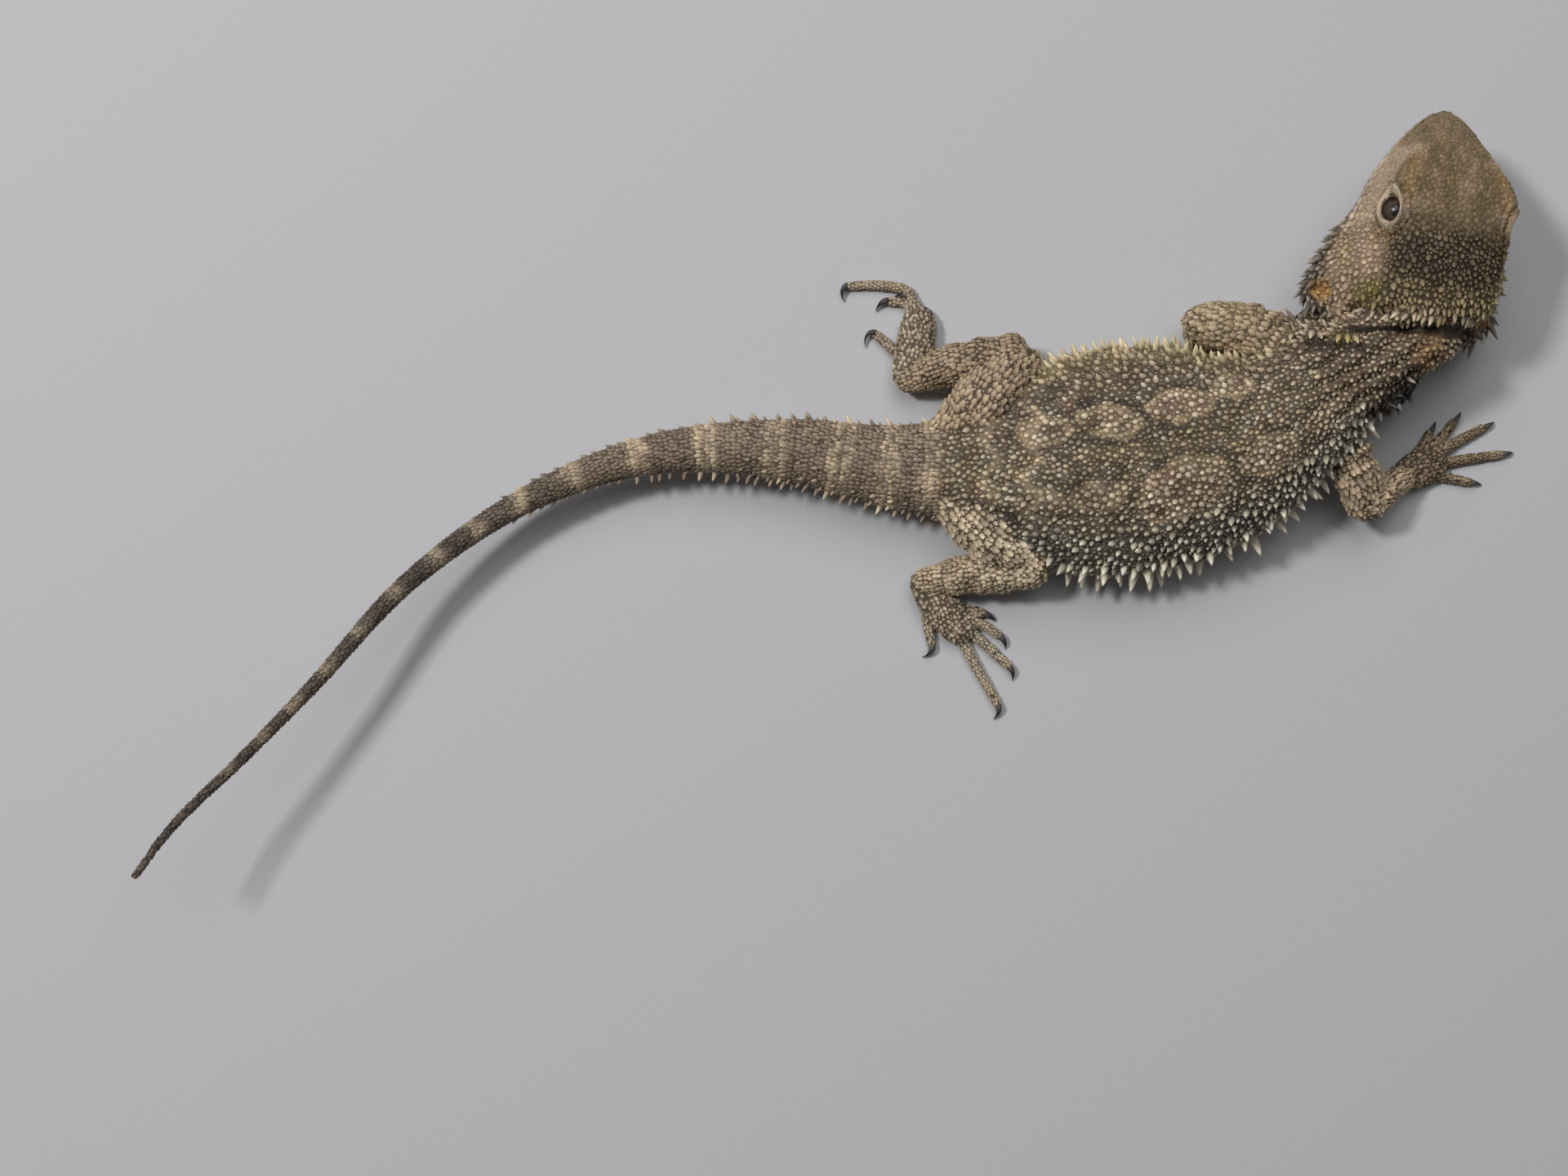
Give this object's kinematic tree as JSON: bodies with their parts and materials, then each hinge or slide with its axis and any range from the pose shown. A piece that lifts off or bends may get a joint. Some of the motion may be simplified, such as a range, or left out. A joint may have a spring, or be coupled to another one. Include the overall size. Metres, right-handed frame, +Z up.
{
  "type": "bearded dragon model",
  "caption": "Still, life-size central bearded dragon resting on its belly, head turned to its left and slightly rolled, spiny flanks and beard, long tail curving back and up.",
  "frame": {"origin": "on the floor, below the middle of the bounding box", "axes": "+X from the tail towards the shoulders, +Y to the animal's left, +Z up from the floor"},
  "size_m": [0.4008, 0.217, 0.0458],
  "materials": {
    "head_skin": "matt scaly skin, olive tan",
    "beard_skin": "matt spiny skin, dark grey brown with pale spines",
    "back_skin": "matt scaly skin, grey brown with pale scale tips",
    "tail_skin": "matt keeled scales, brown grey with pale bands",
    "limb_skin": "matt keeled scales, tan",
    "eye": "wet gloss, dark brown"
  },
  "bodies": {
    "root": {"beard": "beard_skin", "eye_left": "eye", "eye_right": "eye", "foot_left": "limb_skin", "foot_right": "limb_skin", "forearm_left": "limb_skin", "forearm_right": "limb_skin", "hand_left": "limb_skin", "hand_right": "limb_skin", "head": "head_skin", "lower_jaw": "head_skin", "neck": "back_skin", "shin_left": "limb_skin", "shin_right": "limb_skin", "tail_1": "tail_skin", "tail_2": "tail_skin", "tail_3": "tail_skin", "tail_4": "tail_skin", "thigh_left": "limb_skin", "thigh_right": "limb_skin", "torso": "back_skin", "upper_arm_left": "limb_skin", "upper_arm_right": "limb_skin"}
  },
  "joints": []
}
